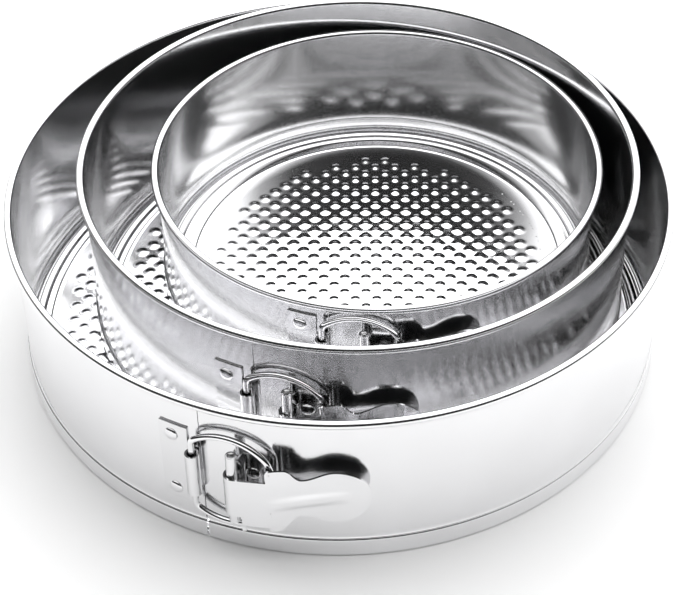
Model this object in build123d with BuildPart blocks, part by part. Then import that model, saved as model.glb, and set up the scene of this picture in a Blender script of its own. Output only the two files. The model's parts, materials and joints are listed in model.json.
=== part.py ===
"""Nest of three springform cake pans with lever clasps, millimetres, +Z up.

The origin is on the axis of the large pan, on the table. Every pan is built in its own
front plane: x runs along the wall to the right, y points to the pan's axis, z is up, and
the clasp's pivot stands at x = 0 in front of the wall.
"""
import os
from math import cos, degrees, radians, sin

from build123d import *

os.makedirs("parts", exist_ok=True)

# Pans: clear inside radius, overall height, place of the axis, how many bases the foot
# stands above the table, and the clasp's azimuth (from the front, towards +X) and height.
GAP = 0.3  # between pieces that rest on each other or slide past each other
FLOOR = 3.0  # top of a base above its pan's foot
PANS = {
    "large": {"radius": 130.0, "height": 72.6, "axis": (0.0, 0.0), "tier": 0,
              "azimuth": -16.05, "clasp_z": 37.3},
    "medium": {"radius": 110.0, "height": 73.6, "axis": (7.5, 13.0), "tier": 1,
               "azimuth": -13.0, "clasp_z": 34.6},
    "small": {"radius": 90.0, "height": 58.0, "axis": (15.3, 27.2), "tier": 2,
              "azimuth": -3.25, "clasp_z": 30.6},
}

# Band: one strip of tinplate with a butt seam, a curled rim and a bead round the foot.
SHEET = 0.5
RIM_RADIUS = 1.6
RIM_OPEN_ANGLE = 80.0
BEAD_TOP = 8.9
BEAD_BULGE = 0.95
BEAD_SHOULDER = 1.6
LIP_WIDTH = 2.4
SEAM_ARC = -13.9
SEAM_GAP = 0.3

# Base: a loose plate with a stepped floor and a turned-down edge.
BASE_SHEET = 0.6
STEP_RATIO = 0.872
STEP_DROP = 0.5
STEP_RUN = 1.2

# Clasp: distances along the wall from the pivot, and out from the wall's outer face.
SEAT = 0.02  # keeps a bracket just off the band it is riveted to
PLATE = 0.8
RIVET_SHANK = 1.5
RIVET_HEAD = 2.75
RIVET_CROWN = 1.0
RIVET_SLACK = 0.03

KNUCKLE_ARC = -15.9
KNUCKLE_OUT = 3.1
KNUCKLE_RADIUS = 2.75
KNUCKLE_WALL = 0.8
KNUCKLE_HALF = 10.4
BAIL_PLATE_ARCS = (-30.2, -18.6)
BAIL_PLATE_HALF = 19.6
BAIL_RIVET_ARC = -25.2
BAIL_RIVET_HALF = 14.2

PIVOT_OUT = 5.2
TUBE_RADIUS = 2.1
TUBE_WALL = 0.75
TUBE_HALF = 17.2
PIN_RADIUS = 1.3
PIN_HALF = 16.4
PIN_CHAMFER = 0.3
LEVER_PLATE_ARCS = (2.4, 9.6)
LEVER_PLATE_HALF = 15.0
LEVER_RIVET_ARC = 6.4
LEVER_RIVET_HALF = 5.0
WEB_HEIGHTS = ((7.9, 15.0), (-15.0, -12.3))

LEVER_SHEET = 0.8
ROLL_RADIUS = 2.9
ROLL_LEAD = 6.5
ROLL_ANGLE = 245.0
TONGUE_HEIGHTS = (-11.8, 7.4)
EAR_ARCS = (12.2, 19.0)
EAR_TOPS = (13.1, 13.9)
LOWER_EAR_ARCS = (3.2, 15.5)
EAR_BOTTOMS = (-19.2, -18.4)
NOTCH_ARCS = (4.6, 13.0)  # where the wire's lower arm passes as the lever opens
NOTCH_HEIGHT = -16.3
WAIST_ARC = 24.2  # the narrowest place, between the ears and the paddle
WAIST_HALF = 9.1
PADDLE_ARC = 36.0
PADDLE_RADIUS = 12.9
LEVER_TIP_OUT = 4.4
HOOK_ARC = 13.7
HOOK_RADIUS = 2.6
HOOK_TAIL = 0.3
HOOK_HEIGHTS = (8.6, 11.8)

WIRE_RADIUS = 1.2
WIRE_ARC = 13.6
WIRE_OUT = 3.5
WIRE_LEG_HALF = 15.4
WIRE_CORNER_RADIUS = 3.5
WIRE_CORNER_TURN = 52.0
WIRE_SHOULDER = (0.8, 12.6)


def on_wall(wall, arc, out):
    """Point of a clasp plan at an arc length along the wall and a distance out from it."""
    angle = arc / wall
    reach = wall + out
    return (reach * sin(angle), -reach * cos(angle))


def front_plane(pan, turn=0.0):
    """Ground plane of a pan, turned so that its -y side faces the clasp's pivot."""
    lift = pan["tier"] * (FLOOR + GAP)
    place = (pan["axis"][0], pan["axis"][1], lift)
    return Plane(Location(place, (0, 0, pan["azimuth"] + turn)))


def wall_plane(plane, wall, arc, height):
    """Plane facing out of the wall at an arc length from the pivot, with x to the right."""
    turned = plane.rotated((0, 0, degrees(arc / wall)))
    origin = turned.from_local_coords(Vector(0, -wall, height))
    return Plane(origin, x_dir=turned.x_dir, z_dir=-turned.y_dir)


def ring_sector(wall, arcs, inner, outer):
    """Closed outline of a strip that lies along the wall between two arc lengths."""
    middle = (arcs[0] + arcs[1]) / 2
    with BuildLine() as outline:
        inside = ThreePointArc(*[on_wall(wall, a, inner) for a in (arcs[0], middle, arcs[1])])
        outside = ThreePointArc(*[on_wall(wall, a, outer) for a in (arcs[0], middle, arcs[1])])
        Line(inside @ 0, outside @ 0)
        Line(inside @ 1, outside @ 1)
    return outline.line


def export(piece, name):
    """Label a finished piece and write it to its own file."""
    piece.label = name
    export_step(piece, f"parts/{name}.step")


def make_band(name, pan):
    """Side wall: foot lip, bead, straight wall and curled rim, split at the seam."""
    inner = pan["radius"]
    wall = inner + SHEET
    middle = inner + SHEET / 2
    rim_z = pan["height"] - RIM_RADIUS
    curl = RIM_RADIUS - SHEET / 2
    plane = front_plane(pan)
    seam_turn = degrees((SEAM_ARC + SEAM_GAP / 2) / wall)
    seam = plane.rotated((0, 0, seam_turn - 90))
    profile = Plane(plane.origin, x_dir=seam.x_dir, z_dir=-seam.y_dir)
    with BuildPart() as band:
        with BuildSketch(profile):
            with BuildLine():
                lip = Line((middle - LIP_WIDTH, SHEET / 2), (middle, SHEET / 2))
                bead = ThreePointArc(
                    lip @ 1,
                    (middle + BEAD_BULGE, BEAD_TOP / 2),
                    (middle + BEAD_BULGE / 2, BEAD_TOP),
                )
                shoulder = Line(bead @ 1, (middle, BEAD_TOP + BEAD_SHOULDER))
                Line(shoulder @ 1, (middle, rim_z))
                CenterArc((middle + curl, rim_z), curl, 180, RIM_OPEN_ANGLE - 360)
            trace(line_width=SHEET)
        turn = 360 - degrees(SEAM_GAP / wall)
        revolve(axis=Axis(plane.origin, (0, 0, 1)), revolution_arc=turn)
        for arc, half in ((BAIL_RIVET_ARC, BAIL_RIVET_HALF), (LEVER_RIVET_ARC, LEVER_RIVET_HALF)):
            with BuildSketch(wall_plane(plane, wall, arc, pan["clasp_z"])):
                with Locations((0, half), (0, -half)):
                    Circle(RIVET_SHANK + RIVET_SLACK)
            extrude(amount=PLATE, both=True, mode=Mode.SUBTRACT)
    export(band.part, f"{name}_band")


def make_base(name, pan):
    """Loose bottom plate: floor, step down to the flange, and a turned-down edge."""
    edge = pan["radius"] - GAP - BASE_SHEET / 2
    step = STEP_RATIO * pan["radius"]
    floor_z = FLOOR - BASE_SHEET / 2
    flange_z = floor_z - STEP_DROP
    plane = front_plane(pan)
    profile = Plane(plane.origin, x_dir=plane.x_dir, z_dir=-plane.y_dir)
    with BuildPart() as base:
        with BuildSketch(profile):
            with BuildLine():
                Polyline(
                    (0, floor_z),
                    (step, floor_z),
                    (step + STEP_RUN, flange_z),
                    (edge, flange_z),
                    (edge, SHEET + GAP),
                )
            trace(line_width=BASE_SHEET)
        revolve(axis=Axis(plane.origin, (0, 0, 1)))
    export(base.part, f"{name}_base")


def make_bail_bracket(name, pan):
    """Plate riveted left of the seam, its right edge rolled into the wire's knuckle."""
    wall = pan["radius"] + SHEET
    plane = front_plane(pan)
    bracket_plane = plane.offset(pan["clasp_z"] - BAIL_PLATE_HALF)
    knuckle_plane = plane.offset(pan["clasp_z"] - KNUCKLE_HALF)
    centre = on_wall(wall, KNUCKLE_ARC, KNUCKLE_OUT)
    tongue_arcs = (BAIL_PLATE_ARCS[1] - 1, KNUCKLE_ARC)
    with BuildPart() as bracket:
        with BuildSketch(bracket_plane):
            make_face(ring_sector(wall, BAIL_PLATE_ARCS, SEAT, SEAT + PLATE).edges())
        extrude(amount=2 * BAIL_PLATE_HALF)
        with BuildSketch(knuckle_plane):
            make_face(ring_sector(wall, tongue_arcs, SEAT + 0.1, SEAT + PLATE).edges())
            with Locations(centre):
                Circle(KNUCKLE_RADIUS)
                Circle(KNUCKLE_RADIUS - KNUCKLE_WALL, mode=Mode.SUBTRACT)
        extrude(amount=2 * KNUCKLE_HALF)
        with BuildSketch(wall_plane(plane, wall, BAIL_RIVET_ARC, pan["clasp_z"])):
            with Locations((0, BAIL_RIVET_HALF), (0, -BAIL_RIVET_HALF)):
                Circle(RIVET_SHANK + RIVET_SLACK)
        extrude(amount=2 * PLATE, mode=Mode.SUBTRACT)
    export(bracket.part, f"{name}_bail_bracket")


def make_lever_bracket(name, pan):
    """Plate riveted right of the seam, with two webs that carry the pivot tube."""
    wall = pan["radius"] + SHEET
    plane = front_plane(pan)
    height = pan["clasp_z"]
    pivot = on_wall(wall, 0, PIVOT_OUT)
    middle = TUBE_RADIUS - TUBE_WALL / 2
    foot = on_wall(wall, LEVER_PLATE_ARCS[0] + PLATE / 2, SEAT + PLATE / 2)
    with BuildPart() as bracket:
        with BuildSketch(plane.offset(height - LEVER_PLATE_HALF)):
            make_face(ring_sector(wall, LEVER_PLATE_ARCS, SEAT, SEAT + PLATE).edges())
        extrude(amount=2 * LEVER_PLATE_HALF)
        with BuildSketch(plane.offset(height - TUBE_HALF)):
            with Locations(pivot):
                Circle(TUBE_RADIUS)
                Circle(TUBE_RADIUS - TUBE_WALL, mode=Mode.SUBTRACT)
        extrude(amount=2 * TUBE_HALF)
        for low, high in WEB_HEIGHTS:
            with BuildSketch(plane.offset(height + low)):
                with BuildLine():
                    Line(foot, (pivot[0] + middle, pivot[1]))
                trace(line_width=TUBE_WALL)
            extrude(amount=high - low)
        with BuildSketch(wall_plane(plane, wall, LEVER_RIVET_ARC, height)):
            with Locations((0, LEVER_RIVET_HALF), (0, -LEVER_RIVET_HALF)):
                Circle(RIVET_SHANK + RIVET_SLACK)
        extrude(amount=2 * PLATE, mode=Mode.SUBTRACT)
    export(bracket.part, f"{name}_lever_bracket")


def make_rivets(name, pan, bracket, arc, half):
    """Pair of domed rivets, flush inside the wall, as two separate solids."""
    wall = pan["radius"] + SHEET
    plane = front_plane(pan)
    base = SEAT + PLATE + SEAT
    dome = (RIVET_HEAD**2 + RIVET_CROWN**2) / (2 * RIVET_CROWN)
    with BuildPart() as rivets:
        for level in (half, -half):
            spot = wall_plane(plane, wall, arc, pan["clasp_z"] + level)
            section = Plane(spot.origin, x_dir=spot.x_dir, z_dir=-spot.y_dir)
            with BuildSketch(section):
                with BuildLine():
                    Polyline(
                        (0, base + RIVET_CROWN),
                        (0, -SHEET),
                        (RIVET_SHANK, -SHEET),
                        (RIVET_SHANK, base),
                        (RIVET_HEAD, base),
                    )
                    RadiusArc((RIVET_HEAD, base), (0, base + RIVET_CROWN), -dome)
                make_face()
            revolve(axis=Axis(spot.origin, spot.z_dir))
    export(rivets.part, f"{name}_{bracket}_rivets")


def make_pin(name, pan):
    """Pin pressed into the pivot tube."""
    wall = pan["radius"] + SHEET
    plane = front_plane(pan).offset(pan["clasp_z"] - PIN_HALF)
    with BuildPart() as pin:
        with BuildSketch(plane):
            with Locations(on_wall(wall, 0, PIVOT_OUT)):
                Circle(PIN_RADIUS)
        extrude(amount=2 * PIN_HALF)
        chamfer(pin.edges().filter_by(GeomType.CIRCLE), length=PIN_CHAMFER)
    export(pin.part, f"{name}_pivot_pin")


def make_lever(name, pan):
    """Pressed lever: roll round the pivot tube, tongue, hooked ears, waist and paddle."""
    wall = pan["radius"] + SHEET
    plane = front_plane(pan)
    height = pan["clasp_z"]
    pivot = on_wall(wall, 0, PIVOT_OUT)
    start = -90 + ROLL_LEAD
    tip = on_wall(wall, PADDLE_ARC + PADDLE_RADIUS, LEVER_TIP_OUT)
    elevation = Plane(plane.from_local_coords(Vector(0, 0, height)),
                      x_dir=plane.x_dir, z_dir=-plane.y_dir)
    reach = wall + PIVOT_OUT + 2 * ROLL_RADIUS
    with BuildPart() as lever:
        with BuildSketch(plane.offset(height + EAR_BOTTOMS[0])):
            with BuildLine():
                roll = CenterArc(pivot, ROLL_RADIUS, start - ROLL_ANGLE, ROLL_ANGLE)
                blade = TangentArc(roll @ 1, tip, tangent=roll % 1)
            trace(line_width=LEVER_SHEET)
        extrude(amount=EAR_TOPS[1] - EAR_BOTTOMS[0])
        with BuildSketch(elevation):
            with BuildLine():
                left = pivot[0] - 2 * ROLL_RADIUS
                Polyline(
                    (WAIST_ARC, WAIST_HALF),
                    (EAR_ARCS[1], EAR_TOPS[1]),
                    (EAR_ARCS[0], EAR_TOPS[0]),
                    (EAR_ARCS[0], TONGUE_HEIGHTS[1]),
                    (left, TONGUE_HEIGHTS[1]),
                    (left, TONGUE_HEIGHTS[0]),
                    (LOWER_EAR_ARCS[0], TONGUE_HEIGHTS[0]),
                    (LOWER_EAR_ARCS[0], EAR_BOTTOMS[0]),
                    (NOTCH_ARCS[0], EAR_BOTTOMS[0]),
                    (NOTCH_ARCS[0], NOTCH_HEIGHT),
                    (NOTCH_ARCS[1], NOTCH_HEIGHT),
                    (NOTCH_ARCS[1], EAR_BOTTOMS[1]),
                    (LOWER_EAR_ARCS[1], EAR_BOTTOMS[1]),
                    (WAIST_ARC, -WAIST_HALF),
                    (PADDLE_ARC, -WAIST_HALF),
                    (PADDLE_ARC, WAIST_HALF),
                    close=True,
                )
            make_face()
            with Locations((PADDLE_ARC, 0)):
                Circle(PADDLE_RADIUS)
        extrude(amount=reach, mode=Mode.INTERSECT)
        share = (HOOK_ARC - (blade @ 0).X) / (tip[0] - (blade @ 0).X)
        spot = blade @ share
        along = (blade % share) * HOOK_RADIUS
        inward = Vector(-along.Y, along.X)
        tail = (blade % share) * HOOK_TAIL
        for low in (HOOK_HEIGHTS[0], -HOOK_HEIGHTS[1]):
            with BuildSketch(plane.offset(height + low)):
                with BuildLine():
                    ThreePointArc(spot, spot + inward - along, spot + 2 * inward)
                    Line(spot + 2 * inward, spot + 2 * inward + tail)
                trace(line_width=LEVER_SHEET)
            extrude(amount=HOOK_HEIGHTS[1] - HOOK_HEIGHTS[0])
    export(lever.part, f"{name}_lever")


def make_wire_bail(name, pan):
    """Closed wire loop: left leg in the knuckle, bowed arms, right leg in the hooks."""
    wall = pan["radius"] + SHEET
    plane = front_plane(pan)
    hinge = Vector(*on_wall(wall, KNUCKLE_ARC, KNUCKLE_OUT))
    catch = Vector(*on_wall(wall, WIRE_ARC, WIRE_OUT))
    span = (catch - hinge).length
    origin = plane.from_local_coords(hinge + Vector(0, 0, pan["clasp_z"]))
    end = plane.from_local_coords(catch + Vector(0, 0, pan["clasp_z"]))
    x_dir = (end - origin).normalized()
    loop_plane = Plane(origin, x_dir=x_dir, z_dir=x_dir.cross(Vector(0, 0, 1)))
    turn = radians(WIRE_CORNER_TURN)
    corner_end = (WIRE_CORNER_RADIUS * (1 - cos(turn)),
                  WIRE_LEG_HALF + WIRE_CORNER_RADIUS * sin(turn))
    shoulder = (span - WIRE_SHOULDER[0], WIRE_SHOULDER[1])
    level = Plane(origin, x_dir=x_dir, z_dir=(0, 0, 1))
    with BuildLine() as half:
        left = Line((0, 0), (0, WIRE_LEG_HALF))
        bend = TangentArc(left @ 1, corner_end, tangent=left % 1)
        arm = TangentArc(bend @ 1, shoulder, tangent=bend % 1)
        chord = arm % 1 + Vector(0, -1)
        drop = WIRE_SHOULDER[0] * chord.Y / chord.X
        ease = TangentArc(arm @ 1, (span, WIRE_SHOULDER[1] + drop), tangent=arm % 1)
        Line(ease @ 1, (span, 0))
    with BuildPart() as bail:
        with BuildSketch(level):
            Circle(WIRE_RADIUS)
        sweep(path=Location(loop_plane) * half.wire())
        mirror(about=level)
    export(bail.part, f"{name}_wire_bail")


for size, dimensions in PANS.items():
    make_band(size, dimensions)
    make_base(size, dimensions)
    make_bail_bracket(size, dimensions)
    make_rivets(size, dimensions, "bail_bracket", BAIL_RIVET_ARC, BAIL_RIVET_HALF)
    make_lever_bracket(size, dimensions)
    make_rivets(size, dimensions, "lever_bracket", LEVER_RIVET_ARC, LEVER_RIVET_HALF)
    make_pin(size, dimensions)
    make_lever(size, dimensions)
    make_wire_bail(size, dimensions)
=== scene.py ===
"""Looks for the nest of springform pans: mirror-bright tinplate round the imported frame."""

import json
import math

import bpy
import numpy as np
from mathutils import Matrix, Vector


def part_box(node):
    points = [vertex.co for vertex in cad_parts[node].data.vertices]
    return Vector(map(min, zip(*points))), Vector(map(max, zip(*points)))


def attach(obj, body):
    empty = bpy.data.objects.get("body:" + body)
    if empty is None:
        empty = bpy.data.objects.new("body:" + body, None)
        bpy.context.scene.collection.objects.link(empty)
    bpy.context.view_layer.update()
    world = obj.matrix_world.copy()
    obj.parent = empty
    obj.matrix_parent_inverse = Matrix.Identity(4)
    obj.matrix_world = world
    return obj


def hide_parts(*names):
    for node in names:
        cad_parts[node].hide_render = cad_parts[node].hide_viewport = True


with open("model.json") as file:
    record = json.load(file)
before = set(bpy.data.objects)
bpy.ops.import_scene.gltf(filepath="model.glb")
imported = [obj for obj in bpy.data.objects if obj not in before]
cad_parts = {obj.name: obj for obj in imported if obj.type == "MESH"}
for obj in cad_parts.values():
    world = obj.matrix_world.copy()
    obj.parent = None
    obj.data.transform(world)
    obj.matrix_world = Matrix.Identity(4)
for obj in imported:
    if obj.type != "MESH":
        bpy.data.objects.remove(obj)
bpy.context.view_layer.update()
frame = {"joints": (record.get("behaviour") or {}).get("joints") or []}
MM = 0.001
JOINTS = {joint["name"]: joint for joint in frame["joints"]}
PAN_SIZES = ("large", "medium", "small")

# Sheet thicknesses and small sizes shared by the three pans, in millimetres.
BAND_SHEET = 0.5
BASE_SHEET = 0.6
PLATE = 0.8
LEVER_SHEET = 0.8
RIM_RADIUS = 1.6
BEAD_TOP = 8.9
BEAD_OUT = 0.9
LIP_WIDTH = 2.4
SEAM_ARC = -13.9
SEAM_GAP = 0.34
SEAM_GAP_FOOT = 1.0
SEAM_LEAN = 0.8
LATHE_STEPS = 720

# Foot bead: radii of the heel and of the three bends that lead back to the wall.
HEEL_RADIUS = 1.0
BEAD_SHOULDER_DROP = 0.5
SHOULDER_BENDS = ((0.7, 60, 10), (0.6, -39, 7), (3.2, -21, 9))
SEAM_GAP_RIM = 0.06

# Base plate: domes in millimetres, and where the domes and the step ring end as shares
# of the pan's radius.
DIMPLE_PITCH = 4.5
DIMPLE_RADIUS = 3.1
DIMPLE_RISE = 0.62
DIMPLE_FIELD = {"large": 0.925, "medium": 0.92, "small": 0.80}
STEP_RING = {"large": 0.94, "medium": 0.935, "small": 0.872}
DIMPLE_CELL = 0.6
BASE_RING_STEPS = 480

# Clasp: arc length along the wall from the pivot, distance out from the wall.
KNUCKLE_ARC = -15.9
KNUCKLE_RADIUS = 2.75
KNUCKLE_HALF = 10.4
BAIL_PLATE_ARCS = (-30.2, -18.6)
BAIL_PLATE_HALF = 19.6
BAIL_RIVET_ARC = -25.2
BAIL_RIVET_HALF = 14.2
TUBE_RADIUS = 2.1
TUBE_WALL = 0.75
TUBE_HALF = 17.2
PIN_RADIUS = 1.3
PIN_HALF = 16.4
LEVER_PLATE_ARCS = (2.4, 9.6)
LEVER_PLATE_HALF = 15.0
LEVER_RIVET_ARC = 6.4
LEVER_RIVET_HALF = 5.0
WEB_HEIGHTS = ((7.9, 15.0), (-15.0, -12.3))
RIVET_HEAD = 2.75
RIVET_CROWN = 1.0
RIVET_STAND = 0.03
ROLL_RADIUS = 2.9
ROLL_LEAD = 6.5
ROLL_ANGLE = 245.0
TONGUE_HEIGHTS = (-11.8, 7.4)
EAR_ARCS = (12.2, 18.6)
EAR_TOPS = (13.1, 13.9)
LOWER_EAR_ARCS = (3.2, 15.5)
EAR_BOTTOMS = (-19.2, -18.4)
NOTCH_ARCS = (4.6, 13.0)
NOTCH_HEIGHT = -16.3
WAIST_ARC = 24.4
WAIST_HALF = 9.1
PADDLE_ARC = 36.0
PADDLE_RADIUS = 12.9
RIB_RISE = 0.45
RIB_START = 12.5
RIB_LENGTH = 29.0
RIB_LOW = -5.0
RIB_CLIMB = 5.2
RIB_HALF = 2.7
LEVER_TIP_OUT = 4.4
HOOK_ARC = 13.7
HOOK_RADIUS = 2.6
HOOK_TAIL = 0.3
HOOK_HEIGHTS = (8.6, 11.8)
WIRE_RADIUS = 1.2
WIRE_ARC = 13.6
WIRE_OUT = 3.5
WIRE_LEG_HALF = 15.4
WIRE_CORNER_RADIUS = 3.5
WIRE_CORNER_TURN = 52.0
WIRE_SHOULDER = (0.8, 12.6)
WIRE_SIDES = 24
PIN_BEND = 0.5
PIN_SIDES = 24

# Light: a glow round one direction, given as (share of the way round, brightness) stops.
GLOW_DIRECTION = (0.12, 0.55, 0.83)
GLOW_STOPS = [(0.0, 0.02), (0.5, 0.02), (0.65, 0.05), (0.72, 0.4), (0.80, 1.4), (1.0, 2.1)]
GLOW_STRENGTH = 1.15
FILL_FROM = (0.5, -0.5, 0.8)
FILL_STRENGTH = 0.5
FILL_SPREAD = 60.0

# Camera: place and aim in millimetres, roll in degrees, lens on a 36 mm sensor.
CAMERA_PLACE = (10.1, -577.1, 539.4)
CAMERA_AIM = (0.2, -32.0, 40.0)
CAMERA_ROLL = -0.94
CAMERA_LENS = 98.46


# ---------------------------------------------------------------- materials

def metal(name, color, roughness, wave, grain, grain_scale=(1, 1, 1), brushed=0.0):
    """Bright plated steel: slow colour drift, patchy gloss, and press waves as bump."""
    material = bpy.data.materials.new(name)
    material.use_nodes = True
    nodes = material.node_tree.nodes
    links = material.node_tree.links
    shader = nodes["Principled BSDF"]
    shader.inputs["Metallic"].default_value = 1.0
    if brushed:
        # Rolling lines run round the wall, so reflections smear up and down it.
        shader.inputs["Anisotropic"].default_value = brushed
        shader.inputs["Anisotropic Rotation"].default_value = 0.25
        around = nodes.new("ShaderNodeTangent")
        around.direction_type = "RADIAL"
        around.axis = "Z"
        links.new(around.outputs["Tangent"], shader.inputs["Tangent"])
    place = nodes.new("ShaderNodeTexCoord")
    stretch = nodes.new("ShaderNodeMapping")
    stretch.inputs["Scale"].default_value = grain_scale
    links.new(place.outputs["Object"], stretch.inputs["Vector"])

    drift = nodes.new("ShaderNodeTexNoise")
    drift.inputs["Scale"].default_value = 30.0
    drift.inputs["Detail"].default_value = 3.0
    links.new(place.outputs["Object"], drift.inputs["Vector"])
    tint = nodes.new("ShaderNodeValToRGB")
    tint.color_ramp.elements[0].color = [c * 0.95 for c in color] + [1]
    tint.color_ramp.elements[1].color = [*color, 1]
    tint.color_ramp.elements[0].position = 0.3
    tint.color_ramp.elements[1].position = 0.7
    links.new(drift.outputs["Fac"], tint.inputs["Fac"])
    links.new(tint.outputs["Color"], shader.inputs["Base Color"])

    fine = nodes.new("ShaderNodeTexNoise")
    fine.inputs["Scale"].default_value = 900.0
    fine.inputs["Detail"].default_value = 4.0
    links.new(stretch.outputs["Vector"], fine.inputs["Vector"])
    gloss = nodes.new("ShaderNodeMapRange")
    gloss.inputs["From Min"].default_value = 0.3
    gloss.inputs["From Max"].default_value = 0.7
    gloss.inputs["To Min"].default_value = roughness * 0.8
    gloss.inputs["To Max"].default_value = roughness * 1.25
    links.new(fine.outputs["Fac"], gloss.inputs["Value"])
    links.new(gloss.outputs["Result"], shader.inputs["Roughness"])

    slow = nodes.new("ShaderNodeTexNoise")
    slow.inputs["Scale"].default_value = 60.0
    slow.inputs["Detail"].default_value = 1.0
    links.new(place.outputs["Object"], slow.inputs["Vector"])
    press = nodes.new("ShaderNodeBump")
    press.inputs["Strength"].default_value = 1.0
    press.inputs["Distance"].default_value = wave * MM
    links.new(slow.outputs["Fac"], press.inputs["Height"])
    scratch = nodes.new("ShaderNodeBump")
    scratch.inputs["Strength"].default_value = 1.0
    scratch.inputs["Distance"].default_value = grain * MM
    links.new(fine.outputs["Fac"], scratch.inputs["Height"])
    links.new(press.outputs["Normal"], scratch.inputs["Normal"])
    links.new(scratch.outputs["Normal"], shader.inputs["Normal"])
    return material


MATERIALS = {
    "polished_band": metal(
        "tinplate_band", (0.87, 0.87, 0.88), 0.14, 0.05, 0.0008, brushed=0.35),
    "stamped_base": metal("tinplate_base", (0.88, 0.88, 0.89), 0.06, 0.04, 0.0006),
    "clasp_plate": metal("plated_plate", (0.84, 0.84, 0.85), 0.12, 0.06, 0.001),
    "clasp_lever": metal("plated_lever", (0.84, 0.84, 0.85), 0.10, 0.06, 0.001),
    "spring_wire": metal("drawn_wire", (0.88, 0.88, 0.89), 0.07, 0.01, 0.0006),
    "rivet_steel": metal("plated_rivet", (0.82, 0.82, 0.83), 0.12, 0.05, 0.001),
    "pin_steel": metal("turned_pin", (0.88, 0.88, 0.88), 0.10, 0.01, 0.0006),
}


# ---------------------------------------------------------------- mesh helpers

def make_piece(name, verts, faces, body, node, slot, bevel=0.0, sharp=35.0):
    """Finished piece from points in millimetres, riding on a body in place of a CAD node."""
    mesh = bpy.data.meshes.new(name)
    mesh.from_pydata([tuple(v) for v in np.asarray(verts, float) * MM], [], faces)
    mesh.validate()
    mesh.update()
    mesh.polygons.foreach_set("use_smooth", [True] * len(mesh.polygons))
    mesh.set_sharp_from_angle(angle=math.radians(sharp))
    piece = bpy.data.objects.new(name, mesh)
    bpy.context.scene.collection.objects.link(piece)
    mesh.materials.append(MATERIALS[slot])
    if bevel:
        edge = piece.modifiers.new("soft_edges", "BEVEL")
        edge.width = bevel * MM
        edge.segments = 2
        edge.limit_method = "ANGLE"
        edge.angle_limit = math.radians(sharp)
        edge.harden_normals = True
    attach(piece, body)
    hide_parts(node)
    return piece


def grid_faces(rows, columns, start=0, wrap_rows=False, wrap_columns=False, flip=False):
    """Quads of a grid of points stored row by row."""
    faces = []
    for i in range(rows if wrap_rows else rows - 1):
        for j in range(columns if wrap_columns else columns - 1):
            below, right = (i + 1) % rows, (j + 1) % columns
            quad = (
                start + i * columns + j,
                start + i * columns + right,
                start + below * columns + right,
                start + below * columns + j,
            )
            faces.append(quad[::-1] if flip else quad)
    return faces


def arc_points(centre, radius, start, sweep, steps):
    """Points of a circular arc in a plane, from a start angle through a sweep in degrees."""
    angles = np.radians(np.linspace(start, start + sweep, steps))
    return np.c_[centre[0] + radius * np.cos(angles), centre[1] + radius * np.sin(angles)]


def tangent_arc(start, direction, end, steps):
    """Arc that leaves start along direction and reaches end, and its end direction."""
    start, end = np.asarray(start, float), np.asarray(end, float)
    direction = np.asarray(direction, float) / np.linalg.norm(direction)
    normal = np.array([-direction[1], direction[0]])
    chord = end - start
    radius = chord @ chord / (2 * (chord @ normal))
    centre = start + normal * radius
    turn = 2 * math.atan2(direction[0] * chord[1] - direction[1] * chord[0], direction @ chord)
    from_centre = start - centre
    angles = np.linspace(0, turn, steps)
    cos, sin = np.cos(angles)[:, None], np.sin(angles)[:, None]
    side = np.array([-from_centre[1], from_centre[0]])
    points = centre + from_centre * cos + side * sin
    last = np.array([
        direction[0] * math.cos(turn) - direction[1] * math.sin(turn),
        direction[0] * math.sin(turn) + direction[1] * math.cos(turn),
    ])
    return points, last


def side_normals(path):
    """Unit normals to the left of a plane path."""
    way = np.gradient(path, axis=0)
    way /= np.linalg.norm(way, axis=1)[:, None]
    return np.c_[-way[:, 1], way[:, 0]]


def sheet_outline(path, thickness):
    """Closed outline of a sheet whose middle line is path, with half-round edges."""
    path = np.asarray(path, float)
    half = thickness / 2
    normals = side_normals(path)
    left, right = path + normals * half, path - normals * half
    way_in = path[0] - path[1]
    way_out = path[-1] - path[-2]
    caps = []
    for point, way in ((path[-1], way_out), (path[0], way_in)):
        facing = math.degrees(math.atan2(way[1], way[0]))
        caps.append(arc_points(point, half, facing + 90, -180, 7)[1:-1])
    return np.vstack([left, caps[0], right[::-1], caps[1]])


def lathe(outline, centre, start, sweep, steps, closed):
    """Surface swept by an outline of (radius, height) points round a vertical axis."""
    angles = np.radians(np.linspace(start, start + sweep, steps, endpoint=not closed))
    rings = []
    for angle in angles:
        rings.append(np.c_[
            centre[0] + outline[:, 0] * math.cos(angle),
            centre[1] + outline[:, 0] * math.sin(angle),
            outline[:, 1] + centre[2],
        ])
    faces = grid_faces(len(angles), len(outline), wrap_rows=closed, wrap_columns=True)
    return np.vstack(rings), faces


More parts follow.
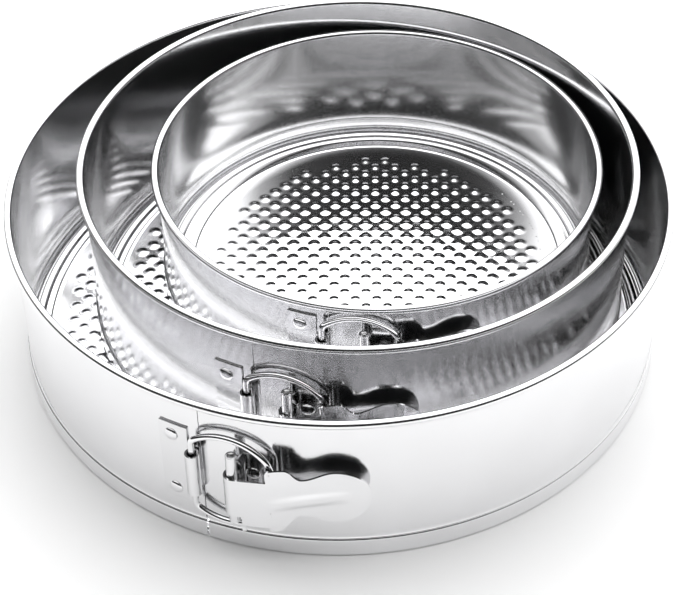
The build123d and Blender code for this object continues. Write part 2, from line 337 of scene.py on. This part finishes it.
class Pan:
    """Measures of one pan, read from the frame, in millimetres."""

    def __init__(self, size):
        self.size = size
        low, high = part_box(f"{size}_band")
        self.rim = (high.x - low.x) / 2 / MM
        self.radius = self.rim - 2 * RIM_RADIUS
        self.wall = self.radius + BAND_SHEET
        self.centre = np.array([(high.x + low.x) / 2, (high.y + low.y) / 2, low.z]) / MM
        self.height = (high.z - low.z) / MM
        base_low, base_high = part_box(f"{size}_base")
        self.base_radius = (base_high.x - base_low.x) / 2 / MM
        self.base_top = (base_high.z - low.z) / MM
        self.base_foot = (base_low.z - low.z) / MM
        pivot = Vector(JOINTS[f"{size}_lever_swing"]["pos_m"]) / MM
        hinge = Vector(JOINTS[f"{size}_bail_swing"]["pos_m"]) / MM
        offset = np.array(pivot) - self.centre
        self.azimuth = math.atan2(offset[0], -offset[1])
        self.clasp_z = pivot.z
        self.pivot_out = math.hypot(offset[0], offset[1]) - self.wall
        reach = np.array(hinge) - self.centre
        self.knuckle_out = math.hypot(reach[0], reach[1]) - self.wall

    def plan(self, arc, out):
        """Plan point in the clasp's own frame, where the wall's pivot spot faces -y."""
        angle = arc / self.wall
        reach = self.wall + out
        return np.array([reach * math.sin(angle), -reach * math.cos(angle)])

    def world(self, plan, heights):
        """Points in the part's frame from clasp plan points and heights over the clasp's centre."""
        plan = np.asarray(plan, float).reshape(-1, 2)
        cos, sin = math.cos(self.azimuth), math.sin(self.azimuth)
        x = self.centre[0] + plan[:, 0] * cos - plan[:, 1] * sin
        y = self.centre[1] + plan[:, 0] * sin + plan[:, 1] * cos
        return np.c_[x, y, np.broadcast_to(heights, len(plan)) + self.clasp_z]


def ribbon(pan, path, thickness, lows, highs, rows=2):
    """Solid strip on edge: a plan path with thickness, between two height profiles."""
    path = np.asarray(path, float)
    normals = side_normals(path)
    lows = np.broadcast_to(lows, len(path))
    highs = np.broadcast_to(highs, len(path))
    shares = np.linspace(0, 1, rows)
    sides = []
    for side in (1, -1):
        face = path + side * normals * thickness / 2
        sides.append([pan.world(face, lows + (highs - lows) * t) for t in shares])
    verts = np.vstack([np.vstack(s) for s in sides])
    count = len(path)
    back = rows * count
    faces = grid_faces(rows, count) + grid_faces(rows, count, back, flip=True)
    top = (rows - 1) * count
    for i in range(count - 1):
        faces.append((i + 1, i, back + i, back + i + 1))
        faces.append((top + i, top + i + 1, back + top + i + 1, back + top + i))
    for j in range(rows - 1):
        a, b = j * count, (j + 1) * count
        faces.append((a, b, back + b, back + a))
        a, b = a + count - 1, b + count - 1
        faces.append((b, a, back + a, back + b))
    return verts, faces


def merge(*parts):
    """One vertex and face list from several."""
    verts, faces, base = [], [], 0
    for points, polygons in parts:
        verts.append(points)
        faces += [tuple(i + base for i in polygon) for polygon in polygons]
        base += len(points)
    return np.vstack(verts), faces


# ---------------------------------------------------------------- band and base

def turn_arc(path, radius, angle, steps):
    """Lengthen a path by an arc that turns it by an angle, positive to the left."""
    way = path[-1] - path[-2]
    way /= np.linalg.norm(way)
    side = np.array([-way[1], way[0]]) * math.copysign(1, angle)
    centre = path[-1] + side * radius
    facing = math.degrees(math.atan2(-side[1], -side[0]))
    return np.vstack([path, arc_points(centre, radius, facing, angle, steps)[1:]])


def band_path(pan):
    """Middle line of the band: foot lip, bead, wall and curled rim."""
    middle = pan.radius + BAND_SHEET / 2
    low = BAND_SHEET / 2
    curl = RIM_RADIUS - BAND_SHEET / 2
    rim_z = pan.height - RIM_RADIUS
    shoulder = BEAD_TOP - BEAD_SHOULDER_DROP
    face = middle + BEAD_OUT
    path = np.c_[np.linspace(middle - LIP_WIDTH, face - HEEL_RADIUS, 8), np.full(8, low)]
    path = turn_arc(path, HEEL_RADIUS, 90, 12)
    rise = np.linspace(low + HEEL_RADIUS + 0.1, shoulder, 6)
    path = np.vstack([path, np.c_[np.full(6, face), rise]])
    for radius, angle, steps in SHOULDER_BENDS:
        path = turn_arc(path, radius, angle, steps)
    # The arcs end a hair off the wall's line, so the last points are eased onto it.
    path[:, 0] = np.maximum(path[:, 0], middle - LIP_WIDTH)
    settle = middle - path[-1, 0]
    above = path[:, 1] > shoulder
    share = (path[above, 1] - shoulder) / (path[-1, 1] - shoulder)
    path[above, 0] += settle * share
    wall = np.c_[np.full(24, middle), np.linspace(path[-1, 1] + 0.2, rim_z - 0.1, 24)]
    rim = arc_points((middle + curl, rim_z), curl, 180, -280, 34)
    return np.vstack([path, wall, rim])


def seam_edges(pan, heights):
    """Places of the butt seam's two edges: wider and further right at the foot bead."""
    foot = np.clip((BEAD_TOP + 2 - heights) / 1.5, 0, 1)
    rim = heights > pan.height - 2 * RIM_RADIUS - 0.4
    gap = SEAM_GAP + (SEAM_GAP_FOOT - SEAM_GAP) * foot
    gap[rim] = SEAM_GAP_RIM
    lean = SEAM_LEAN * foot
    return SEAM_ARC + lean - gap / 2, SEAM_ARC + lean + gap / 2


def make_band(pan):
    """Side band with its butt seam left of the clasp."""
    outline = sheet_outline(band_path(pan), BAND_SHEET)
    seam = math.degrees(pan.azimuth + SEAM_ARC / pan.wall) - 90
    verts, faces = lathe(outline, pan.centre, seam, 360, LATHE_STEPS, False)
    count = len(outline)
    left, right = seam_edges(pan, outline[:, 1])
    for ring, arcs in ((slice(0, count), right), (slice(len(verts) - count, len(verts)), left)):
        angles = pan.azimuth + arcs / pan.wall - math.pi / 2
        verts[ring, 0] = pan.centre[0] + outline[:, 0] * np.cos(angles)
        verts[ring, 1] = pan.centre[1] + outline[:, 0] * np.sin(angles)
    faces.append(tuple(range(count)))
    faces.append(tuple(reversed(range(len(verts) - count, len(verts)))))
    return make_piece(f"{pan.size}_band_sheet", verts, faces, f"{pan.size}_ring",
                      f"{pan.size}_band", "polished_band", sharp=50)


def dimple_height(x, y, limit):
    """Height of the stamped domes at plan points measured from the plate's centre."""
    i, j = np.round(x / DIMPLE_PITCH), np.round(y / DIMPLE_PITCH)
    height = np.zeros_like(x)
    for di in (-1, 0, 1):
        for dj in (-1, 0, 1):
            u, v = i + di, j + dj
            on_lattice = (u + v) % 2 == 0
            inside = np.hypot(u, v) * DIMPLE_PITCH < limit
            distance = np.hypot(x - u * DIMPLE_PITCH, y - v * DIMPLE_PITCH)
            share = np.cos(np.clip(distance / DIMPLE_RADIUS, 0, 1) * math.pi / 2) ** 2
            height += np.where(on_lattice & inside, DIMPLE_RISE * share, 0)
    return height


def make_base(pan):
    """Bottom plate: dimpled floor, ring steps and turned-down edge, with real thickness."""
    floor_z = pan.base_top - DIMPLE_RISE
    field = DIMPLE_FIELD[pan.size] * pan.radius
    cells = int(math.ceil(field / DIMPLE_CELL)) + 1
    ticks = np.arange(-cells, cells + 1) * DIMPLE_CELL
    x, y = np.meshgrid(ticks, ticks, indexing="ij")
    radius = np.hypot(x, y)
    keep = radius < field - DIMPLE_CELL * 0.6
    index = -np.ones(x.shape, int)
    index[keep] = np.arange(keep.sum())
    height = floor_z + dimple_height(x, y, field - DIMPLE_RADIUS * 1.2)
    floor = np.c_[x[keep], y[keep], height[keep]]
    corners = np.stack([index[:-1, :-1], index[1:, :-1], index[1:, 1:], index[:-1, 1:]], -1)
    full = (corners >= 0).all(-1)
    faces = [tuple(int(i) for i in quad) for quad in corners[full]]
    used = np.unique(corners[full])
    remap = -np.ones(len(floor), int)
    remap[used] = np.arange(len(used))
    floor = floor[used]
    faces = [tuple(int(remap[i]) for i in quad) for quad in faces]
    edge_loop = boundary_loop(faces)

    step = STEP_RING[pan.size] * pan.radius
    edge = pan.base_radius - BASE_SHEET / 2
    profile = np.array([
        (field, floor_z),
        (field + 0.3, floor_z),
        (step - 1.0, floor_z),
        (step - 0.6, floor_z + 0.12),
        (step - 0.25, floor_z + 0.34),
        (step, floor_z + 0.4),
        (step + 0.3, floor_z + 0.3),
        (step + 0.7, floor_z + 0.02),
        (step + 1.1, floor_z - 0.05),
        (edge - 6.2, floor_z - 0.05),
        (edge - 5.7, floor_z + 0.05),
        (edge - 5.1, floor_z + 0.42),
        (edge - 4.3, floor_z + 0.58),
        (edge - 3.6, floor_z + 0.4),
        (edge - 3.1, floor_z - 0.1),
        (edge - 2.6, floor_z - 0.3),
        (edge - 2.1, floor_z - 0.2),
        (edge - 1.5, floor_z + 0.25),
        (edge - 0.9, floor_z + 0.5),
        (edge - 0.35, floor_z + 0.3),
        (edge, floor_z - 0.3),
        (edge, pan.base_foot),
    ])
    steps = BASE_RING_STEPS
    angles = np.linspace(0, 2 * math.pi, steps, endpoint=False)
    rings = [np.c_[r * np.cos(angles), r * np.sin(angles), np.full(steps, z)] for r, z in profile]
    start = len(floor)
    faces += grid_faces(len(profile), steps, start, wrap_columns=True, flip=True)
    faces += zip_rings(floor, edge_loop, rings[0], start)
    verts = np.vstack([floor, *rings]) + pan.centre
    piece = make_piece(f"{pan.size}_base_plate", verts, faces, f"{pan.size}_base",
                       f"{pan.size}_base", "stamped_base", sharp=60)
    thick = piece.modifiers.new("sheet", "SOLIDIFY")
    thick.thickness = BASE_SHEET * MM * 0.9
    thick.offset = -1
    return piece


def boundary_loop(faces):
    """Vertices used by edges that only one face has, for a patch with one outline."""
    edges = {}
    for face in faces:
        for a, b in zip(face, face[1:] + face[:1]):
            key = (min(a, b), max(a, b))
            edges[key] = edges.get(key, 0) + 1
    following = {}
    for face in faces:
        for a, b in zip(face, face[1:] + face[:1]):
            if edges[(min(a, b), max(a, b))] == 1:
                following[a] = b
    first = min(following)
    loop = [first]
    while following[loop[-1]] != first:
        loop.append(following[loop[-1]])
    return loop


def zip_rings(floor, loop, ring, ring_start):
    """Triangles between an outline that runs anticlockwise and a ring of points round it."""
    inner_angle = np.unwrap(np.arctan2(floor[loop, 1], floor[loop, 0]))
    begin = int(np.argmin(np.mod(inner_angle, 2 * math.pi)))
    loop = loop[begin:] + loop[:begin]
    inner_angle = np.unwrap(np.arctan2(floor[loop, 1], floor[loop, 0]))
    inner_angle -= 2 * math.pi * round(inner_angle[0] / (2 * math.pi))
    outer_angle = np.linspace(0, 2 * math.pi, len(ring), endpoint=False)
    loop, inner_angle = loop + loop[:1], np.append(inner_angle, inner_angle[0] + 2 * math.pi)
    outer = [*range(ring_start, ring_start + len(ring)), ring_start]
    outer_angle = np.append(outer_angle, 2 * math.pi)
    faces, a, b = [], 0, 0
    while a < len(loop) - 1 or b < len(outer) - 1:
        step_inner = b == len(outer) - 1 or (
            a < len(loop) - 1 and inner_angle[a + 1] < outer_angle[b + 1])
        if step_inner:
            faces.append((loop[a], outer[b], loop[a + 1]))
            a += 1
        else:
            faces.append((loop[a], outer[b], outer[b + 1]))
            b += 1
    return faces


# ---------------------------------------------------------------- clasp

def wall_strip(pan, arcs, out, steps=16):
    """Plan path that follows the wall between two arc lengths."""
    return np.array([pan.plan(a, out) for a in np.linspace(arcs[0], arcs[1], steps)])


def make_bail_bracket(pan):
    """Left plate and the knuckle rolled from its edge."""
    plate = ribbon(pan, wall_strip(pan, BAIL_PLATE_ARCS, PLATE / 2 + 0.02), PLATE,
                   -BAIL_PLATE_HALF, BAIL_PLATE_HALF)
    centre = pan.plan(KNUCKLE_ARC, pan.knuckle_out)
    roll = KNUCKLE_RADIUS - PLATE / 2
    facing = math.degrees(KNUCKLE_ARC / pan.wall)
    curl = arc_points(centre, roll, facing + 90, -318, 40)
    lead = wall_strip(pan, (BAIL_PLATE_ARCS[1] - 0.4, KNUCKLE_ARC - 1.2), PLATE / 2 + 0.1, 6)
    knuckle = ribbon(pan, np.vstack([lead, curl]), PLATE, -KNUCKLE_HALF, KNUCKLE_HALF)
    return make_piece(f"{pan.size}_bail_bracket_plate", *merge(plate, knuckle),
                      f"{pan.size}_ring", f"{pan.size}_bail_bracket", "clasp_plate", bevel=0.12)


def make_lever_bracket(pan):
    """Right plate, its two webs and the pivot tube rolled from them."""
    plate = ribbon(pan, wall_strip(pan, LEVER_PLATE_ARCS, PLATE / 2 + 0.02), PLATE,
                   -LEVER_PLATE_HALF, LEVER_PLATE_HALF)
    pivot = pan.plan(0, pan.pivot_out)
    middle = TUBE_RADIUS - TUBE_WALL / 2
    tube = ribbon(pan, arc_points(pivot, middle, 0, -352, 40), TUBE_WALL, -TUBE_HALF, TUBE_HALF)
    foot = pan.plan(LEVER_PLATE_ARCS[0] + PLATE / 2, PLATE / 2)
    web = np.linspace(foot, pivot + (middle, 0), 6)
    webs = [ribbon(pan, web, TUBE_WALL, low, high) for low, high in WEB_HEIGHTS]
    return make_piece(f"{pan.size}_lever_bracket_plate", *merge(plate, tube, *webs),
                      f"{pan.size}_ring", f"{pan.size}_lever_bracket", "clasp_plate", bevel=0.1)


def make_rivets(pan, name, arc, half):
    """Two domed heads, each a small lathe turned to face out of the wall."""
    parts = []
    steps = 40
    for level in (half, -half):
        rings = []
        for share in np.linspace(0, 1, 12):
            spread = math.sin(share * math.pi / 2)
            rings.append((RIVET_HEAD * spread, RIVET_CROWN * (1 - spread ** 3.2) ** 0.6))
        rings.append((RIVET_HEAD * 0.98, -0.05))
        angles = np.linspace(0, 2 * math.pi, steps, endpoint=False)
        verts = []
        for radius, crown in rings[1:]:
            along = arc + radius * np.cos(angles)
            plan = np.array([pan.plan(a, PLATE + RIVET_STAND + crown) for a in along])
            verts.append(pan.world(plan, level + radius * np.sin(angles)))
        top = pan.world(pan.plan(arc, PLATE + RIVET_STAND + rings[0][1]), level)
        points = np.vstack([top, *verts])
        faces = [(0, 1 + (k + 1) % steps, 1 + k) for k in range(steps)]
        faces += grid_faces(len(verts), steps, 1, wrap_columns=True)
        faces.append(tuple(reversed(range(len(points) - steps, len(points)))))
        parts.append((points, faces))
    return make_piece(f"{pan.size}_{name}_heads", *merge(*parts), f"{pan.size}_ring",
                      f"{pan.size}_{name}", "rivet_steel")


def make_pin(pan):
    """Pin in the pivot tube with rounded ends."""
    pivot = pan.plan(0, pan.pivot_out)
    half_profile = [(0.001, PIN_HALF)]
    for angle in np.radians(np.linspace(90, 0, 6)):
        half_profile.append((PIN_RADIUS - PIN_BEND + PIN_BEND * math.cos(angle),
                             PIN_HALF - PIN_BEND + PIN_BEND * math.sin(angle)))
    profile = np.array(half_profile + [(r, -z) for r, z in reversed(half_profile)])
    centre = pan.world(pivot, 0)[0]
    angles = np.linspace(0, 2 * math.pi, PIN_SIDES, endpoint=False)
    rings = [np.c_[centre[0] + r * np.cos(angles), centre[1] + r * np.sin(angles),
                   np.full(PIN_SIDES, centre[2] + z)] for r, z in profile]
    faces = grid_faces(len(profile), PIN_SIDES, wrap_columns=True, flip=True)
    return make_piece(f"{pan.size}_pivot_pin_rod", np.vstack(rings), faces,
                      f"{pan.size}_ring", f"{pan.size}_pivot_pin", "pin_steel")


def ease(start, end, share):
    """Soft step between two values."""
    return start + (end - start) * (0.5 - 0.5 * math.cos(share * math.pi))


def lever_edge(s, tongue, ear_arcs, ears, sign):
    """Height of the lever's upper or lower edge at an arc length from the pivot."""
    if s < ear_arcs[0]:
        return tongue
    if s < ear_arcs[1]:
        share = (s - ear_arcs[0]) / (ear_arcs[1] - ear_arcs[0])
        return ears[0] + (ears[1] - ears[0]) * math.sin(share * math.pi / 2)
    if s < WAIST_ARC:
        return ease(ears[1], sign * WAIST_HALF, (s - ear_arcs[1]) / (WAIST_ARC - ear_arcs[1]))
    if s < PADDLE_ARC:
        share = (s - WAIST_ARC) / (PADDLE_ARC - WAIST_ARC)
        return sign * ease(WAIST_HALF, PADDLE_RADIUS, share)
    away = (s - PADDLE_ARC) / PADDLE_RADIUS
    return sign * max(PADDLE_RADIUS * math.sqrt(max(0.0, 1 - away * away)), 0.15)


def rib_sink(s, z):
    """How far the sheet is pressed in beside the rib that arches into the paddle."""
    length = np.clip((s - RIB_START) / RIB_LENGTH, 0, 1)
    crest = RIB_LOW + RIB_CLIMB * np.sin(length * math.pi / 2)
    swell = np.sin(length * math.pi) ** 0.7
    return RIB_RISE * swell * (1 - np.exp(-np.abs((z - crest) / RIB_HALF) ** 4))


def make_lever(pan):
    """Lever: roll, tongue, ears with hooks, waist and paddle with its pressed rib."""
    pivot = pan.plan(0, pan.pivot_out)
    start = -90 + ROLL_LEAD
    roll = arc_points(pivot, ROLL_RADIUS, start - ROLL_ANGLE, ROLL_ANGLE, 44)
    tip = pan.plan(PADDLE_ARC + PADDLE_RADIUS, LEVER_TIP_OUT)
    way = roll[-1] - pivot
    blade, _ = tangent_arc(roll[-1], (-way[1], way[0]), tip, 4000)
    length = np.r_[0, np.cumsum(np.linalg.norm(np.diff(blade, axis=0), axis=1))]
    total = length[-1]
    tip_arc = PADDLE_ARC + PADDLE_RADIUS
    eased = 1 - (1 - np.linspace(0, 1, 60)) ** 1.8
    stations = np.unique(np.round(np.concatenate([
        np.linspace(0, EAR_ARCS[0], 30),
        [EAR_ARCS[0] - 0.01, LOWER_EAR_ARCS[0] - 0.01, LOWER_EAR_ARCS[0]],
        [NOTCH_ARCS[0], NOTCH_ARCS[0] + 0.01, NOTCH_ARCS[1] - 0.01, NOTCH_ARCS[1]],
        np.linspace(EAR_ARCS[0], WAIST_ARC, 50),
        np.linspace(WAIST_ARC, PADDLE_ARC + 4, 60),
        PADDLE_ARC + 4 + (PADDLE_RADIUS - 4.02) * eased,
    ]), 4))
    places = stations / tip_arc * total
    spots = np.c_[np.interp(places, length, blade[:, 0]), np.interp(places, length, blade[:, 1])]
    path = np.vstack([roll[:-1], spots])
    arcs = np.r_[np.full(len(roll) - 1, -1.0), stations]
    tops = np.array([lever_edge(s, TONGUE_HEIGHTS[1], EAR_ARCS, EAR_TOPS, 1) for s in arcs])
    lows = np.array([
        lever_edge(s, TONGUE_HEIGHTS[0], LOWER_EAR_ARCS, EAR_BOTTOMS, -1) for s in arcs])
    lows[(arcs > NOTCH_ARCS[0]) & (arcs < NOTCH_ARCS[1])] = NOTCH_HEIGHT
    rows = 41
    shares = np.linspace(0, 1, rows)
    normals = side_normals(path)
    verts, count = [], len(path)
    for side in (1, -1):
        for share in shares:
            z = lows + (tops - lows) * share
            sink = rib_sink(arcs, z)
            face = path + normals * (side * LEVER_SHEET / 2 + sink)[:, None]
            verts.append(pan.world(face, z))
    verts = np.vstack(verts)
    back, top = rows * count, (rows - 1) * count
    faces = grid_faces(rows, count) + grid_faces(rows, count, back, flip=True)
    for i in range(count - 1):
        faces.append((i + 1, i, back + i, back + i + 1))
        faces.append((top + i, top + i + 1, back + top + i + 1, back + top + i))
    for j in range(rows - 1):
        a, b = j * count, (j + 1) * count
        faces.append((a, b, back + b, back + a))
        a, b = a + count - 1, b + count - 1
        faces.append((b, a, back + a, back + b))
    hook_at = np.interp(HOOK_ARC / tip_arc * total, length, np.arange(len(blade)))
    spot = blade[int(hook_at)]
    along = blade[int(hook_at) + 1] - blade[int(hook_at)]
    along /= np.linalg.norm(along)
    inward = np.array([-along[1], along[0]])
    turn = np.radians(np.linspace(0, 180, 24))[:, None]
    bend = spot + HOOK_RADIUS * (inward * (1 - np.cos(turn)) - along * np.sin(turn))
    tail = bend[-1] + along * np.array([[HOOK_TAIL / 2], [HOOK_TAIL]])
    hook = np.vstack([bend, tail])
    hooks = [ribbon(pan, hook, LEVER_SHEET, low, low + HOOK_HEIGHTS[1] - HOOK_HEIGHTS[0])
             for low in (HOOK_HEIGHTS[0], -HOOK_HEIGHTS[1])]
    return make_piece(f"{pan.size}_lever_pressing", *merge((verts, faces), *hooks),
                      f"{pan.size}_lever", f"{pan.size}_lever", "clasp_lever", bevel=0.14)


def make_wire_bail(pan):
    """Closed wire loop, built as a tube round its centre line."""
    hinge = pan.plan(KNUCKLE_ARC, pan.knuckle_out)
    catch = pan.plan(WIRE_ARC, WIRE_OUT)
    span = np.linalg.norm(catch - hinge)
    across = (catch - hinge) / span
    turn = math.radians(WIRE_CORNER_TURN)
    corner = (WIRE_CORNER_RADIUS * (1 - math.cos(turn)),
              WIRE_LEG_HALF + WIRE_CORNER_RADIUS * math.sin(turn))
    shoulder = (span - WIRE_SHOULDER[0], WIRE_SHOULDER[1])
    bend, way = tangent_arc((0, WIRE_LEG_HALF), (0, 1), corner, 12)
    arm, way = tangent_arc(bend[-1], way, shoulder, 40)
    chord = way + (0, -1)
    drop = WIRE_SHOULDER[0] * chord[1] / chord[0]
    settle, way = tangent_arc(arm[-1], way, (span, WIRE_SHOULDER[1] + drop), 8)
    left = np.c_[np.zeros(10), np.linspace(0, WIRE_LEG_HALF, 10)]
    right = np.c_[np.full(8, span), np.linspace(settle[-1][1], 0, 8)]
    upper = np.vstack([left[:-1], bend, arm[1:], settle[1:], right[1:]])
    lower = upper[-2:0:-1] * (1, -1)
    loop = np.vstack([upper, lower])
    way = np.roll(loop, -1, 0) - np.roll(loop, 1, 0)
    way /= np.linalg.norm(way, axis=1)[:, None]
    side = np.c_[-way[:, 1], way[:, 0]]
    outward = np.array([across[1], -across[0]])
    verts = []
    for k in range(WIRE_SIDES):
        angle = 2 * math.pi * k / WIRE_SIDES
        at = loop + side * WIRE_RADIUS * math.cos(angle)
        plan = hinge + at[:, :1] * across + outward * WIRE_RADIUS * math.sin(angle)
        verts.append(pan.world(plan, at[:, 1]))
    faces = grid_faces(WIRE_SIDES, len(loop), wrap_rows=True, wrap_columns=True)
    return make_piece(f"{pan.size}_wire_bail_loop", np.vstack(verts), faces,
                      f"{pan.size}_bail", f"{pan.size}_wire_bail", "spring_wire")


# ---------------------------------------------------------------- stage

def make_floor():
    """Plain pale table."""
    bpy.ops.mesh.primitive_plane_add(size=12, location=(0, 0, 0))
    floor = bpy.context.object
    floor.name = "table"
    material = bpy.data.materials.new("table_white")
    material.use_nodes = True
    nodes = material.node_tree.nodes
    links = material.node_tree.links
    shader = nodes["Principled BSDF"]
    shader.inputs["Roughness"].default_value = 0.8
    shader.inputs["Specular IOR Level"].default_value = 0.1
    noise = nodes.new("ShaderNodeTexNoise")
    noise.inputs["Scale"].default_value = 4.0
    tint = nodes.new("ShaderNodeValToRGB")
    tint.color_ramp.elements[0].color = (0.93, 0.93, 0.93, 1)
    tint.color_ramp.elements[1].color = (0.95, 0.95, 0.95, 1)
    links.new(noise.outputs["Fac"], tint.inputs["Fac"])
    links.new(tint.outputs["Color"], shader.inputs["Base Color"])
    floor.data.materials.append(material)


def ramp(nodes, stops):
    """Colour ramp of greys from (position, value) stops."""
    node = nodes.new("ShaderNodeValToRGB")
    node.color_ramp.interpolation = "EASE"
    elements = node.color_ramp.elements
    elements[0].position, elements[-1].position = stops[0][0], stops[-1][0]
    for position, _ in stops[1:-1]:
        elements.new(position)
    for element, (_, value) in zip(elements, stops):
        element.color = (value, value, value, 1)
    return node


def make_world():
    """Studio surround: a broad glow above and behind, dark on the camera's side."""
    world = bpy.data.worlds.new("studio")
    bpy.context.scene.world = world
    world.use_nodes = True
    nodes = world.node_tree.nodes
    links = world.node_tree.links
    background = nodes["Background"]
    place = nodes.new("ShaderNodeTexCoord")
    toward = nodes.new("ShaderNodeVectorMath")
    toward.operation = "DOT_PRODUCT"
    toward.inputs[1].default_value = Vector(GLOW_DIRECTION).normalized()
    links.new(place.outputs["Generated"], toward.inputs[0])
    spread = nodes.new("ShaderNodeMapRange")
    spread.inputs["From Min"].default_value = -1
    spread.inputs["From Max"].default_value = 1
    links.new(toward.outputs["Value"], spread.inputs["Value"])
    glow = ramp(nodes, GLOW_STOPS)
    links.new(spread.outputs["Result"], glow.inputs["Fac"])
    links.new(glow.outputs["Color"], background.inputs["Color"])
    background.inputs["Strength"].default_value = GLOW_STRENGTH


def make_fill():
    """Soft light on the table from the front right, kept out of the metal's reflections."""
    data = bpy.data.lights.new("fill", "SUN")
    data.energy = FILL_STRENGTH
    data.angle = math.radians(FILL_SPREAD)
    light = bpy.data.objects.new("fill", data)
    bpy.context.scene.collection.objects.link(light)
    light.rotation_euler = (-Vector(FILL_FROM)).to_track_quat("-Z", "Y").to_euler()
    light.visible_glossy = False


def make_camera():
    """Camera above the front of the nest, looking down at about forty degrees."""
    place = Vector(CAMERA_PLACE) * MM
    aim = Vector(CAMERA_AIM) * MM
    roll = math.radians(CAMERA_ROLL)
    data = bpy.data.cameras.new("camera")
    data.sensor_width = 36
    data.lens = CAMERA_LENS
    camera = bpy.data.objects.new("camera", data)
    bpy.context.scene.collection.objects.link(camera)
    turn = (aim - place).to_track_quat("-Z", "Y").to_matrix().to_4x4()
    camera.matrix_world = Matrix.Translation(place) @ turn @ Matrix.Rotation(roll, 4, "Z")
    bpy.context.scene.camera = camera


make_camera()
make_floor()
make_world()
make_fill()
for name in PAN_SIZES:
    pan = Pan(name)
    make_band(pan)
    make_base(pan)
    make_bail_bracket(pan)
    make_lever_bracket(pan)
    make_rivets(pan, "bail_bracket_rivets", BAIL_RIVET_ARC, BAIL_RIVET_HALF)
    make_rivets(pan, "lever_bracket_rivets", LEVER_RIVET_ARC, LEVER_RIVET_HALF)
    make_pin(pan)
    make_lever(pan)
    make_wire_bail(pan)

bpy.context.scene.view_settings.view_transform = "Standard"
